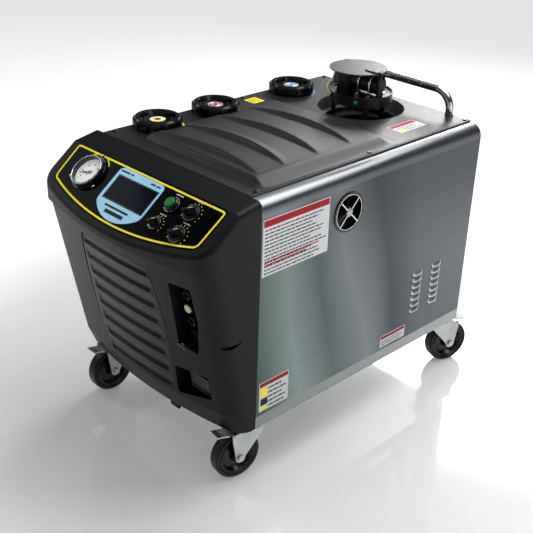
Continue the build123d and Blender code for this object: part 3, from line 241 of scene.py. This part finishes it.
# Painted reflection bands for the side panels: green-grey tones, lighter and darker in turn from front to
# rear.
PAINTED_REFLECTION_BANDS = [(0.0, (0.035, 0.070, 0.050)), (0.22, (0.055, 0.095, 0.075)), (0.40, (0.20, 0.25, 0.24)),
              (0.52, (0.09, 0.12, 0.115)), (0.64, (0.17, 0.19, 0.20)), (0.80, (0.06, 0.068, 0.075)),
              (1.0, (0.10, 0.11, 0.12))]
M = {
    "stainless": brushed("brushed_stainless", PAINTED_REFLECTION_BANDS, skew=0.25, rolled=True),
    "rail": brushed("rail_stainless", [(0, (0.30, 0.32, 0.31)), (1, (0.42, 0.44, 0.43))]),
    "zinc": material("zinc_plate", (0.55, 0.57, 0.57), 0.34, 1.0, 500, 0.08, 0.14, 0.08, edge=0.0008),
    "bright": material("bright_steel", (0.75, 0.75, 0.75), 0.18, 1.0, 700, 0.03, 0.06, 0.05, edge=0.0005),
    "chrome": material("polished_chrome", (0.66, 0.67, 0.69), 0.08, 1.0, 300, 0.01, 0.05, 0.03),
    "shell": material("moulded_black", (0.0040, 0.0048, 0.0056), 0.44, 0, 1500, 0.16, 0.2, 0.07, edge=0.002,
                      specular=0.18),
    "cover": material("moulded_cover", (0.010, 0.0103, 0.0118), 0.42, 0, 1300, 0.22, 0.15, 0.08, edge=0.002,
                      specular=0.5),
    "slat": material("moulded_slats", (0.0045, 0.005, 0.006), 0.40, 0, 1500, 0.14, 0.2, 0.07, edge=0.0015,
                     specular=0.28),
    "gloss": material("gloss_black", (0.0035, 0.0035, 0.004), 0.17, 0, 500, 0.03, 0.2, 0.05, edge=0.0008,
                      specular=0.4),
    "film": material("panel_film", (0.0012, 0.0014, 0.0017), 0.2, 0, 300, 0.01, 0.2, 0.04, specular=0.025),
    # Light blue bezel with painted glow: it emits a little of its own colour as painted light.
    "blue": material("bezel_blue", (0.36, 0.70, 0.90), 0.38, 0, 400, 0.02, 0.05, 0.05,
                     specular=0.15, painted_glow=0.12),
    "screen": material("display_glass", (0.0012, 0.004, 0.011), 0.12, 0, 100, 0.0, 0.3, 0.03, specular=0.03),
    # White dial with painted glow: emission brightens it as painted light.
    "dial": material("dial_white", (0.84, 0.84, 0.84), 0.5, 0, 400, 0.02, 0.02, 0.05,
                     specular=0.1, painted_glow=0.35),
    "green": material("button_green", (0.002, 0.20, 0.05), 0.22, 0, 300, 0.02, 0.15, 0.04, specular=0.3),
    "tyre": material("tyre_rubber", (0.0045, 0.0045, 0.005), 0.42, 0, 700, 0.22, 0.25, 0.1, edge=0.001,
                     specular=0.35),
    "hub": material("hub_plastic", (0.003, 0.003, 0.0035), 0.22, 0, 700, 0.06, 0.2, 0.06, edge=0.001,
                    specular=0.4),
    "heat": material("heat_paint", (0.006, 0.006, 0.007), 0.36, 0, 500, 0.10, 0.2, 0.08, edge=0.001,
                     specular=0.35),
    "disc": material("disc_grey", (0.030, 0.032, 0.036), 0.42, 0, 500, 0.06, 0.12, 0.07, edge=0.0008),
    "tank": material("tank_plastic", (0.62, 0.63, 0.60), 0.45, 0, 200, 0.08, 0.06, 0.08),
    "boiler": material("boiler_steel", (0.10, 0.10, 0.10), 0.42, 1.0, 300, 0.10, 0.2, 0.1),
    "copper": material("copper_pipe", (0.30, 0.14, 0.08), 0.32, 1.0, 300, 0.08, 0.15, 0.1),
    "cast": material("cast_metal", (0.40, 0.41, 0.42), 0.45, 1.0, 500, 0.2, 0.12, 0.08),
    "plug": material("plug_yellow", (0.70, 0.70, 0.46), 0.30, 0, 500, 0.05, 0.10, 0.06),
    "white": material("label_white", (0.72, 0.73, 0.73), 0.5, 0, 300, 0.02, 0.04, 0.05, specular=0.2),
    "mark": material("mark_white", (0.62, 0.62, 0.60), 0.5, 0, 300, 0.02, 0.05, 0.05, specular=0.1),
    "ink": material("label_ink", (0.03, 0.03, 0.035), 0.5, 0, 300, 0.02, 0.15, 0.05, specular=0.1),
    "red": material("label_red", (0.38, 0.008, 0.018), 0.5, 0, 300, 0.02, 0.10, 0.05, specular=0.15),
    # Yellow print and wire with painted glow: emission brightens them as painted light.
    "yellow": material("line_yellow", (0.90, 0.76, 0.02), 0.5, 0, 300, 0.02, 0.06, 0.05,
                       specular=0.05, painted_glow=0.22),
    "cyan": material("label_blue", (0.06, 0.26, 0.55), 0.45, 0, 300, 0.02, 0.08, 0.05, specular=0.2),
}


def clear_lens():
    made = material("clear_lens", (0.9, 0.93, 0.95), 0.04, 0, 50, 0.0, 0.02, 0.02, specular=0.2)
    made.node_tree.nodes["Principled BSDF"].inputs["Alpha"].default_value = 0.02
    return made


M["lens"] = clear_lens()
FINISH = {
    "stainless": "side_panel_right side_panel_left rear_panel",
    "rail": "base_frame",
    "zinc": "caster_plates",
    "shell": "front_shell",
    "slat": "grille_panel inlet_box inlet_lid drain_valve",
    "cover": "top_cover",
    "gloss": "case_screws pressure_knob flow_knob mode_selector cap_front cap_middle cap_rear "
             "gauge_needle vent_fan vent_guard start_ring gauge_case",
    "film": "control_panel",
    "blue": "display_bezel",
    "screen": "display_screen",
    "chrome": "push_handle motor_straps",
    "dial": "gauge_dial",
    "lens": "gauge_lens",
    "green": "start_button",
    "heat": "drain_lever burner_housing burner_collar burner_motor cover_bracket hose_ports",
    "disc": "exhaust_cover",
    "tank": "storage_tanks",
    "boiler": "boiler_shell",
    "copper": "boiler_coil",
    "cast": "burner_fan pump_unit",
    "plug": "port_plug",
}
CASTERS = ("front_right", "front_left", "rear_right", "rear_left")


def paint(name, finish):
    slots = NODES[name].data.materials
    slots.clear()
    slots.append(M[finish])


for finish, names in FINISH.items():
    for name in names.split():
        paint(name, finish)
for caster in CASTERS:
    paint(caster + "_fork", "zinc")
    paint(caster + "_brake", "zinc")
    paint(caster + "_tyre", "tyre")
    paint(caster + "_hub", "hub")


# ---------------------------------------------------------------- mesh helpers
def add_piece(name, mesh, finish, body):
    mesh.materials.append(M[finish])
    made = bpy.data.objects.new(name, mesh)
    bpy.context.scene.collection.objects.link(made)
    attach(made, body)
    return made


def marks(name, shapes, place, finish, body="chassis", low=0.0, high=0.25):
    """Thin raised shapes, such as print or labels: each is a closed outline of points on a surface."""
    mesh = bpy.data.meshes.new(name)
    made = bmesh.new()
    for shape in shapes:
        bottom = [made.verts.new(place(x, y, low)) for x, y in shape]
        top = [made.verts.new(place(x, y, high)) for x, y in shape]
        made.faces.new(top)
        made.faces.new(bottom[::-1])
        for i in range(len(shape)):
            j = (i + 1) % len(shape)
            made.faces.new((bottom[i], bottom[j], top[j], top[i]))
    bmesh.ops.recalc_face_normals(made, faces=made.faces)
    made.to_mesh(mesh)
    made.free()
    return add_piece(name, mesh, finish, body)


def bar(x0, y0, x1, y1):
    return [(x0, y0), (x1, y0), (x1, y1), (x0, y1)]


def arc_band(cx, cy, inner, outer, start, end, steps=40):
    angles = [math.radians(start + (end - start) * i / steps) for i in range(steps + 1)]
    far = [(cx + outer * math.cos(a), cy + outer * math.sin(a)) for a in angles]
    near = [(cx + inner * math.cos(a), cy + inner * math.sin(a)) for a in angles]
    return far + near[::-1]


def disc(cx, cy, radius, steps=48):
    return [(cx + radius * math.cos(2 * math.pi * i / steps), cy + radius * math.sin(2 * math.pi * i / steps))
            for i in range(steps)]


def ring_quads(cx, cy, inner, outer, steps=48):
    return [arc_band(cx, cy, inner, outer, 360 * i / steps, 360 * (i + 1) / steps, 1) for i in range(steps)]


def turned(shape, cx, cy, degrees):
    c, s = math.cos(math.radians(degrees)), math.sin(math.radians(degrees))
    return [(cx + x * c - y * s, cy + x * s + y * c) for x, y in shape]


def lathe(name, profile, origin, axis, finish, body, steps=64, ring=False):
    """A turned piece: profile is (radius, height) pairs along the axis. A ring is open in the middle."""
    axis = Vector(axis).normalized()
    side = axis.orthogonal().normalized()
    other = axis.cross(side)
    mesh = bpy.data.meshes.new(name)
    made = bmesh.new()
    rows = []
    for radius, height in profile:
        row = []
        for i in range(steps):
            a = 2 * math.pi * i / steps
            offset = side * math.cos(a) + other * math.sin(a)
            row.append(made.verts.new(Vector(origin) + axis * height * MM + offset * radius * MM))
        rows.append(row)
    for low, high in zip(rows, rows[1:] + rows[:1] if ring else rows[1:]):
        for i in range(steps):
            j = (i + 1) % steps
            made.faces.new((low[i], low[j], high[j], high[i])).smooth = True
    if not ring:
        made.faces.new(rows[0][::-1])
        made.faces.new(rows[-1])
    bmesh.ops.recalc_face_normals(made, faces=made.faces)
    made.to_mesh(mesh)
    made.free()
    return add_piece(name, mesh, finish, body)


def tube(name, points, radius, finish, body):
    """A round wire through points, in millimetres."""
    curve = bpy.data.curves.new(name, "CURVE")
    curve.dimensions = "3D"
    curve.bevel_depth = radius * MM
    curve.bevel_resolution = 4
    curve.use_fill_caps = True
    line = curve.splines.new("NURBS")
    line.points.add(len(points) - 1)
    for point, (x, y, z) in zip(line.points, points):
        point.co = (x * MM, y * MM, z * MM, 1)
    line.order_u = 3
    line.use_endpoint_u = True
    curve.materials.append(M[finish])
    made = bpy.data.objects.new(name, curve)
    bpy.context.scene.collection.objects.link(made)
    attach(made, body)
    return made


# ---------------------------------------------------------------- control panel
def rounded(points, radii, steps=8):
    """Closed outline with its corners rounded."""
    out = []
    count = len(points)
    for i, (point, radius) in enumerate(zip(points, radii)):
        here = Vector(point)
        before = (Vector(points[i - 1]) - here).normalized()
        after = (Vector(points[(i + 1) % count]) - here).normalized()
        if not radius:
            out.append((here.x, here.y))
            continue
        half = before.angle(after) / 2
        reach = radius / math.tan(half)
        middle = here + (before + after).normalized() * radius / math.sin(half)
        first, last = here + before * reach - middle, here + after * reach - middle
        swing = first.angle_signed(last)
        for k in range(steps + 1):
            turn = Matrix.Rotation(-swing * k / steps, 2)
            spot = middle + turn @ first
            out.append((spot.x, spot.y))
    return out


def inset(shape, amount):
    """The outline moved inwards; shape runs clockwise or anticlockwise without crossing itself."""
    area = sum(a[0] * b[1] - b[0] * a[1] for a, b in zip(shape, shape[1:] + shape[:1]))
    sign = 1 if area > 0 else -1
    out = []
    for i, point in enumerate(shape):
        before, after = Vector(shape[i - 1]), Vector(shape[(i + 1) % len(shape)])
        along = (after - before).normalized()
        out.append((point[0] - sign * along.y * amount, point[1] + sign * along.x * amount))
    return out


def band(shape, first, second):
    outer, inner = inset(shape, first), inset(shape, second)
    count = len(shape)
    return [[outer[i], outer[(i + 1) % count], inner[(i + 1) % count], inner[i]] for i in range(count)]


PANEL_TOP_HALF, PANEL_LOW_HALF = 272.0, 266.0
PANEL_SIDE, PANEL_DEEP = 108.7, 154.0


def panel_shape():
    """Straight upper edge, leaning sides and a lower edge that sags in an arc."""
    sag, half, steps = PANEL_DEEP - PANEL_SIDE, PANEL_LOW_HALF, 32
    radius = (half * half + sag * sag) / (2 * sag)
    low = []
    for i in range(steps + 1):
        x = half - 2 * half * i / steps
        low.append((x, radius - PANEL_DEEP - math.sqrt(radius * radius - x * x)))
    points = [(-PANEL_TOP_HALF, 0), (PANEL_TOP_HALF, 0)] + low
    radii = [14, 14, 24] + [0] * (steps - 1) + [24]
    return rounded(points, radii)


PANEL_SHAPE = panel_shape()
marks("panel_border", band(PANEL_SHAPE, 5.0, 9.6), on_panel, "yellow", high=0.3)

GAUGE = (-168.0, -60.0)


def gauge_marks():
    ticks = []
    for i in range(25):
        long = i % 4 == 0
        shape = bar(28 if long else 31, -0.55 if long else -0.3, 34.5, 0.55 if long else 0.3)
        ticks.append(turned(shape, *GAUGE, 225 - 270 * i / 24))
    for i in range(0, 25, 4):
        ticks.append(turned(bar(21.5, -2.0, 24.5, 2.0), *GAUGE, 225 - 270 * i / 24))
    marks("gauge_ticks", ticks, on_panel, "ink", low=1.2, high=1.4)
    marks("gauge_sector", [arc_band(*GAUGE, 35.2, 37, -45, 20)], on_panel, "red", low=1.2, high=1.35)
    lathe("gauge_rim", [(39.6, 13.4), (39.6, 14.3), (40.6, 14.7), (41.6, 14.3), (41.8, 13.4)],
          on_panel(*GAUGE, 0), PANEL_OUT, "chrome", "chassis", ring=True)
    for i, angle in enumerate((-30, 90, 210)):
        x = GAUGE[0] + 51.5 * math.cos(math.radians(angle))
        y = GAUGE[1] + 51.5 * math.sin(math.radians(angle))
        lathe("gauge_screw_%d" % i, [(3.2, 2.4), (3.2, 3.4), (2.4, 4.3), (0.8, 4.6)],
              on_panel(x, y, 0), PANEL_OUT, "bright", "chassis", 24)
    marks("gauge_arc", [arc_band(*GAUGE, 53, 55.5, 40, 78), arc_band(*GAUGE, 53, 55.5, 100, 150)],
          on_panel, "yellow", high=0.3)


gauge_marks()


def display_marks():
    dashes = [bar(-80, -22, -48, -18), bar(-44, -22, -34, -18), bar(28, -22, 44, -18), bar(48, -22, 62, -18)]
    dashes += [bar(-52, -112, 32, -107), bar(-40, -127, 26, -118)]
    marks("display_print", dashes, on_panel, "ink", low=1.5, high=1.8)
    x, y, wide, high = -5.0, -64.0, 146.0, 68.0
    shape = rounded([(x - wide / 2 + 1, y - high / 2 + 1), (x + wide / 2 - 1, y - high / 2 + 1),
                     (x + wide / 2 - 1, y + high / 2 - 1), (x - wide / 2 + 1, y + high / 2 - 1)], [2] * 4)
    marks("display_frame", band(shape, 0, 2.2), on_panel, "gloss", low=1.1, high=1.5)


display_marks()
KNOBS = {"pressure_knob": (KNOB_X, KNOB_V, 21.0), "flow_knob": (193.0, -98.0, 21.0),
         "mode_selector": (119.0, -98.0, 16.0)}


def knob_marks(knob, x, y, skirt):
    """Pointer and bright skirt on the knob, with a ring of ticks and a plain bar on the panel."""
    marks(knob + "_pointer", [turned(bar(skirt * 0.1, -1.0, skirt * 0.62, 1.0), x, y, 35)], on_panel, "mark",
          knob, low=21.9, high=22.3)
    marks(knob + "_skirt", ring_quads(x, y, skirt - 1.4, skirt - 0.4), on_panel, "chrome", knob,
          low=4.6, high=5.6)
    ticks = [turned(bar(skirt + 3, -0.7, skirt + 6, 0.7), x, y, a) for a in range(-30, 211, 24)]
    marks(knob + "_scale", ticks, on_panel, "yellow", high=0.3)
    marks(knob + "_name", [bar(x - 10, y + skirt + 9, x + 12, y + skirt + 12)], on_panel, "mark", high=0.3)


for knob, spot in KNOBS.items():
    knob_marks(knob, *spot)
marks("start_rim", ring_quads(124, -43, 18.4, 19.6), on_panel, "bright", low=3.9, high=4.3)
marks("start_name", [bar(112, -17, 136, -14)], on_panel, "mark", high=0.3)


# ---------------------------------------------------------------- grille
FACE_OUT = Vector(JOINTS["port_plug_pull"]["axis"])
LEAN = FACE_OUT.z / FACE_OUT.y
HALF_WIDE, BOW = 300.0, 33.0
BOW_R = (HALF_WIDE ** 2 + BOW ** 2) / (2 * BOW)
BROW_Y, BROW_Z = -524, 620


def on_face(x, z, out):
    """A point on the bowed, leaning face of the shell, in millimetres."""
    y = BROW_Y + (BROW_Z - z) * LEAN + BOW_R - math.sqrt(BOW_R * BOW_R - x * x)
    return (x, y - out, z)


TOP_SLAT, SLAT_PITCH = 542, 42.5
SLATS = [TOP_SLAT - SLAT_PITCH * i - i * (i - 1) / 2 for i in range(8)]


def smooth(value):
    value = max(0.0, min(1.0, value))
    return value * value * (3 - 2 * value)


def slat_depth(x, z):
    """How far the slatted surface lies in front of the face: each slat slopes in towards its ledge."""
    side = smooth((x + 122) / 5) * smooth((121 - x) / 5)
    out = 0.0
    for ledge in SLATS:
        up = z - ledge
        if 0 <= up < 34:
            out = -5.0 * (1 - up / 34) * smooth(up / 1.6)
        lip = max(0.0, 1 - (up / 2.6) ** 2)
        out += 1.3 * math.sqrt(lip)
    for ledge in SLATS:
        pit = math.hypot(x - 119, z - ledge - 1)
        if pit < 6:
            return side * out + 1.8 * math.sqrt(1 - (pit / 6) ** 2)
    return side * out


def grille():
    """The slatted insert as one moulded surface with rounded ledges."""
    mesh = bpy.data.meshes.new("grille_skin")
    made = bmesh.new()
    rows = []
    low_z, tall, steps, across = 223, 342, 300, 80
    for i in range(steps + 1):
        z = low_z + tall * i / steps
        t = (z - 394) / 172
        half = 143.5 - 18.5 * t * t - 1.5 * t
        row = []
        for k in range(across + 1):
            x = half * (2 * k / across - 1)
            edge = smooth((1 - abs(x) / half) * 40)
            out = slat_depth(x, z) - 2.5 * (1 - edge)
            row.append(made.verts.new(Vector(on_face(x, z, 0.25 + out)) * MM))
        rows.append(row)
    for low, high in zip(rows, rows[1:]):
        for k in range(across):
            made.faces.new((low[k], low[k + 1], high[k + 1], high[k])).smooth = True
    made.to_mesh(mesh)
    made.free()
    skin = add_piece("grille_skin", mesh, "slat", "chassis")
    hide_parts("grille_panel")


grille()

# ---------------------------------------------------------------- top cover
CAPS = ("cap_front", "cap_middle", "cap_rear")
CAP_SPOTS = [(centre(cap).x * 1000, centre(cap).y * 1000) for cap in CAPS]
SCALES = (-262, -176, -64, 48)


def cover_height(x, y):
    """Height of the moulded hump: overlapping scales, each with a steep front and a long back."""
    base = smooth((x + 166) / 14) * smooth((256 - x) / 46) * smooth((y + 287) / 14) * smooth((176 - y) / 34)
    for cx, cy in CAP_SPOTS:
        base *= smooth((math.hypot(x - cx, y - cy) - 64) / 12)
    if base < 0.002:
        return -0.4
    across = max(0.0, 1 - ((x - 30) / 176) ** 2)
    rise = 0.0
    for i, front in enumerate(SCALES):
        back = y - front - 26 * across + 6
        if 0 < back < 116:
            rise += (12.0 if i else 9.0) * across ** 0.8 * smooth(back / 9) * (1 - back / 116)
    return base * (14.7 + rise) - 0.05


def cover_skin():
    mesh = bpy.data.meshes.new("cover_hump")
    made = bmesh.new()
    step, columns, lines = 3.0, 144, 158
    grid = []
    for j in range(lines):
        y = step * j - 291
        row = [step * i - 170 for i in range(columns)]
        grid.append([made.verts.new(on_top(x, y, cover_height(x, y))) for x in row])
    for low, high in zip(grid, grid[1:]):
        for i in range(columns - 1):
            corners = (low[i], low[i + 1], high[i + 1], high[i])
            if max(v.co.z for v in corners) > COVER_TOP * MM:
                made.faces.new(corners).smooth = True
    bmesh.ops.delete(made, geom=[v for v in made.verts if not v.link_faces], context="VERTS")
    made.to_mesh(mesh)
    made.free()
    add_piece("cover_hump", mesh, "cover", "chassis")


cover_skin()
marks("cover_seam", [bar(257.6, -330, 259.0, 462), bar(262.6, -332, 263.6, 464)], on_top, "ink",
      low=0.0, high=0.3)


# ---------------------------------------------------------------- side louvres
def louvre(made, y, z):
    """A pressed hood, open along its lower edge."""
    rows = []
    for i in range(9):
        v = i / 8
        row = []
        for k in range(17):
            u = 2 * k / 16 - 1
            bulge = math.sqrt(max(0.0, 1 - u * u)) * math.sin(v * math.pi / 2)
            row.append(made.verts.new(on_side(y + 19.5 * u, z + 9.5 - 10 * v, 0.1 + 5.5 * bulge)))
        rows.append(row)
    for low, high in zip(rows, rows[1:]):
        for k in range(16):
            made.faces.new((low[k], high[k], high[k + 1], low[k + 1])).smooth = True


def louvres():
    mesh = bpy.data.meshes.new("louvre_hoods")
    made = bmesh.new()
    for y in (252, 332.5):
        for i in range(7):
            louvre(made, y, 310 + 18.4 * (i - 3))
    made.to_mesh(mesh)
    made.free()
    # The hoods take the bright zinc finish, lighter than the side sheet they are pressed from: a painted
    # highlight.
    add_piece("louvre_hoods", mesh, "zinc", "chassis")


louvres()

# ---------------------------------------------------------------- labels
def label(name, place, x0, y0, x1, y1, header, lines, seed):
    """White sticker with a coloured header and plain bars where print would be."""
    edge = rounded([(x0, y0), (x1, y0), (x1, y1), (x0, y1)], [2.5] * 4, 4)
    marks(name, [edge], place, "white", high=0.22)
    top = y1 - (y1 - y0) * header
    marks(name + "_header", [bar(x0 + 2, top, x1 - 2, y1 - 2)], place, "red", low=0.2, high=0.3)
    pick = random.Random(seed)
    dashes = []
    pitch = (top - y0 - 6) / lines
    for row in range(lines):
        y = top - 3 - pitch * (row + 0.75)
        x = x0 + 6
        limit = x1 - 6 - pick.random() * 0.3 * (x1 - x0)
        while x < limit:
            wide = min(limit - x, 4 + 11 * pick.random())
            dashes.append(bar(x, y, x + wide, y + pitch * 0.36))
            x += wide + 2.0
    marks(name + "_lines", dashes, place, "ink", low=0.2, high=0.3)


def along_cover(y, x, out):
    """A label on the right of the cover that reads from the machine's right-hand side."""
    return on_top(212 - x, y, out)


label("label_side", on_side, -329, 553, -118, 690, 0.13, 13, 3)
label("label_front", on_side, -325, 192, -228, 273, 0.16, 5, 5)
label("label_low", on_side, 118, 189, 220, 224, 0.30, 3, 7)
label("label_cover", along_cover, 240, 0, 342, 50, 0.34, 3, 9)
marks("label_side_rows", [bar(-322, 587, -150, 590), bar(-322, 579, -190, 582)], on_side, "red",
      low=0.3, high=0.4)
marks("label_front_sign", [bar(-320, 232, -297, 255), bar(-320, 198, -297, 204)], on_side, "yellow",
      low=0.3, high=0.4)
marks("label_front_square", [bar(-320, 208, -297, 226)], on_side, "ink", low=0.3, high=0.4)
marks("label_cover_sign", [bar(246, 4, 262, 18)], along_cover, "yellow", low=0.3, high=0.4)

# ---------------------------------------------------------------- filler caps
def cap_marks(cap, sign, middle):
    """Grip ribs and a round sticker on the cap, and a coloured arc on the cover beside it."""
    low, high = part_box(cap)
    mid = centre(cap)
    top = high[2] * 1000 - COVER_TOP
    cx, cy = mid.x * 1000, mid.y * 1000
    radius = (high[0] - low[0]) * 500
    ribs = [turned(bar(radius - 1.5, -1.1, radius + 0.9, 1.1), cx, cy, 6 * i) for i in range(60)]
    marks(cap + "_ribs", ribs, on_top, "gloss", cap, low=4, high=top - 5)
    marks(cap + "_sticker", [disc(cx, cy, 20)], on_top, "white", cap, low=top - 9, high=top - 8.6)
    halves = [arc_band(cx, cy, 11, 18, 30, 150), arc_band(cx, cy, 11, 18, 210, 330)]
    marks(cap + "_sign", halves, on_top, sign, cap, low=top - 8.7, high=top - 8.4)
    marks(cap + "_centre", [disc(cx, cy, 8)], on_top, middle, cap, low=top - 8.7, high=top - 8.4)
    marks(cap + "_arc", [arc_band(cx, cy, radius + 2, radius + 6, 15, 75)], on_top, sign, high=0.4)


for cap, colours in zip(CAPS, (("yellow", "red"), ("red", "red"), ("cyan", "cyan"))):
    cap_marks(cap, *colours)
marks("cover_sticker", [bar(-236, 112, -196, 152)], on_top, "yellow", high=0.3)
marks("cover_sticker_bars", [bar(-232, 118, -200, 122), bar(-232, 128, -206, 132), bar(-232, 138, -202, 142)],
      on_top, "ink", low=0.3, high=0.4)

# ---------------------------------------------------------------- side vent
VENT = centre("vent_guard")
VY, VZ = VENT.y * 1000, VENT.z * 1000
marks("vent_spokes", [turned(bar(8, -1.1, 43.5, 1.1), VY, VZ, 45 + 90 * i) for i in range(4)],
      on_side, "bright", low=2.4, high=4.0)
# Painted highlight: a thin bright steel band laid on the black guard ring where its highlight falls.
marks("vent_rim_highlight", ring_quads(VY, VZ, 43.0, 44.2), on_side, "bright", low=2.4, high=2.9)
lathe("vent_boss", [(10, 2.4), (10, 4.2), (7.5, 5.0), (3, 5.2)], Vector((SIDE_X, VENT.y, VENT.z)),
      (1, 0, 0), "cast", "chassis", 32)

# ---------------------------------------------------------------- burner
tube("burner_lead", [(-60, 268, 812), (-66, 258, 800), (-58, 250, 786), (-48, 256, 772), (-44, 268, 766)],
     1.4, "yellow", "chassis")

COLLAR = centre("burner_collar")
lathe("collar_lamp", [(6, 0), (6, 1.5), (4.5, 2.6), (1, 3)],
      (COLLAR.x + 0.042, COLLAR.y - 0.0725, 0.770), (0.5, -0.866, 0), "green", "chassis", 24)
lathe("drain_nut", [(5.5, 0), (5.5, 3.4), (4.6, 4.2), (1, 4.2)],
      centre("drain_lever") - FACE_OUT * 0.006, FACE_OUT, "bright", "drain_lever", 6)

# ---------------------------------------------------------------- floor, light and camera
FLOOR_HALF = 14


def floor():
    """A glossy white sheet whose glow is weak near the machine and full away from it: the dim zone around the
    machine is a painted shadow.
    """
    mesh = bpy.data.meshes.new("floor")
    far = FLOOR_HALF
    mesh.from_pydata([(-far, -far, 0), (far, -far, 0), (far, far, 0), (-far, far, 0)], [], [(0, 1, 2, 3)])
    white = material("floor_white", (0.80, 0.80, 0.81), 0.10, 0, 40, 0.0, 0.01, 0.03, coat=1.0)
    bsdf = white.node_tree.nodes["Principled BSDF"]
    bsdf.inputs["Coat Roughness"].default_value = 0.04
    bsdf.inputs["Coat IOR"].default_value = 2.0
    bsdf.inputs["Emission Color"].default_value = (1, 1, 1, 1)
    tree = white.node_tree
    place = tree.nodes.new("ShaderNodeTexCoord")
    away = node(tree, "ShaderNodeVectorMath", operation="LENGTH")
    tree.links.new(place.outputs["Object"], away.inputs[0])
    # Painted shadow: the floor's glow drops near the machine.
    spread = tree.nodes.new("ShaderNodeMapRange")
    spread.interpolation_type = "SMOOTHSTEP"
    spread.inputs["From Min"].default_value = 0.75
    spread.inputs["From Max"].default_value = 1.5
    spread.inputs["To Min"].default_value = 0.22
    spread.inputs["To Max"].default_value = 0.95
    tree.links.new(away.outputs["Value"], spread.inputs["Value"])
    tree.links.new(spread.outputs["Result"], bsdf.inputs["Emission Strength"])
    mesh.materials.append(white)
    made = bpy.data.objects.new("floor", mesh)
    bpy.context.scene.collection.objects.link(made)


def area(name, place, target, size, power):
    lamp = bpy.data.lights.new(name, "AREA")
    lamp.shape = "RECTANGLE"
    lamp.size, lamp.size_y = size
    lamp.energy = power
    made = bpy.data.objects.new(name, lamp)
    bpy.context.scene.collection.objects.link(made)
    made.location = place
    made.rotation_euler = (Vector(target) - Vector(place)).to_track_quat("-Z", "Y").to_euler()


floor()
area("key_above", (0.5, 0.7, 2.7), (0.0, 0.1, 0.6), (1.6, 2.2), 52)
area("back_strip", (-1.2, 3.0, 2.0), (0.1, 0.1, 0.7), (1.5, 0.9), 62)
area("right_soft", (3.0, 0.2, 1.2), (0.2, 0, 0.4), (1.2, 1.4), 9)
area("left_soft", (-2.6, -1.2, 1.8), (-0.2, -0.2, 0.6), (0.6, 1.8), 10)


def studio_world():
    """Pale near the floor, dark above it and soft white overhead, for the plating to reflect."""
    made = bpy.data.worlds.new("studio")
    made.use_nodes = True
    tree = made.node_tree
    place = tree.nodes.new("ShaderNodeTexCoord")
    split = tree.nodes.new("ShaderNodeSeparateXYZ")
    tree.links.new(place.outputs["Generated"], split.inputs["Vector"])
    height = remap(tree, split.outputs["Z"], 0.5, 1.0)
    dark = (0.10, 0.11, 0.12)
    sky = ramp(tree, height, [(0.5, (0.75, 0.77, 0.80)), (0.56, (0.55, 0.57, 0.60)), (0.62, dark),
                              (0.78, dark), (0.88, (0.5, 0.51, 0.54)), (1.0, (0.8, 0.82, 0.85))])
    tree.links.new(sky, tree.nodes["Background"].inputs["Color"])
    tree.nodes["Background"].inputs["Strength"].default_value = 0.6
    return made


world = studio_world()
scene = bpy.context.scene
scene.world = world
scene.view_settings.view_transform = "Standard"


CAMERA_PLACE = (1.6454, -1.6635, 1.5525)
CAMERA_TURN = (-0.7844, -0.4731, 0.0352)
CAMERA_LENS = 66.1


def camera():
    yaw, pitch, roll = CAMERA_TURN
    forward = Vector((math.cos(pitch) * math.sin(yaw), math.cos(pitch) * math.cos(yaw), math.sin(pitch)))
    right = forward.cross(Vector((0, 0, 1))).normalized()
    up = right.cross(forward)
    across = math.cos(roll) * right + math.sin(roll) * up
    upward = math.cos(roll) * up - math.sin(roll) * right
    data = bpy.data.cameras.new("camera")
    data.lens = CAMERA_LENS
    data.sensor_width = 36.0
    made = bpy.data.objects.new("camera", data)
    bpy.context.scene.collection.objects.link(made)
    turn = Matrix((across, upward, -forward)).transposed().to_4x4()
    made.matrix_world = Matrix.Translation(CAMERA_PLACE) @ turn
    bpy.context.scene.camera = made


camera()
